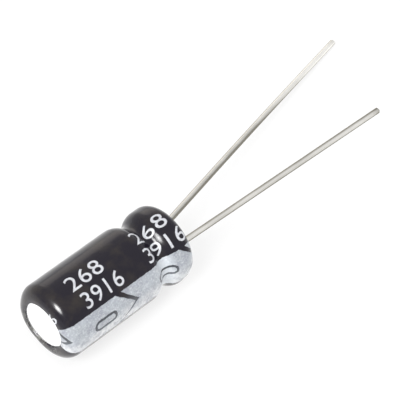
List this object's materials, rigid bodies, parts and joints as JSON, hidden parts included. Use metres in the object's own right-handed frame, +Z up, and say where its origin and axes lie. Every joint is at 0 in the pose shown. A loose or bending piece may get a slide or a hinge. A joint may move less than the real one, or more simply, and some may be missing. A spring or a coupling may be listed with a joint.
{
  "type": "electrolytic capacitor",
  "caption": "Radial aluminium electrolytic capacitor: a beaded can in a shrunk sleeve with a polarity stripe, a rubber bung and two bent wire leads.",
  "frame": {"origin": "on the floor, under the middle of the part's box as it lies at rest", "axes": "+X along the can from its head to its leads, +Z up as it lies"},
  "size_m": [0.041, 0.0118, 0.0065],
  "materials": {
    "can_aluminium": "bright drawn aluminium",
    "sleeve_plastic": "glossy black shrink film",
    "stripe_ink": "silver ink, slightly mottled",
    "bung_rubber": "matt black rubber",
    "tinned_wire": "bright tinned wire",
    "tab_aluminium": "pressed aluminium",
    "separator_paper": "paper soaked with electrolyte",
    "etched_foil": "dull etched foil",
    "plain_foil": "plain foil",
    "roll_tape": "thin brown tape"
  },
  "bodies": {
    "root": {"can": "can_aluminium", "sleeve": "sleeve_plastic", "polarity_stripe": "stripe_ink", "rubber_bung": "bung_rubber", "positive_lead": "tinned_wire", "negative_lead": "tinned_wire", "positive_tab": "tab_aluminium", "negative_tab": "tab_aluminium", "inner_paper": "separator_paper", "anode_foil": "etched_foil", "outer_paper": "separator_paper", "cathode_foil": "plain_foil", "closing_tape": "roll_tape"}
  },
  "joints": []
}
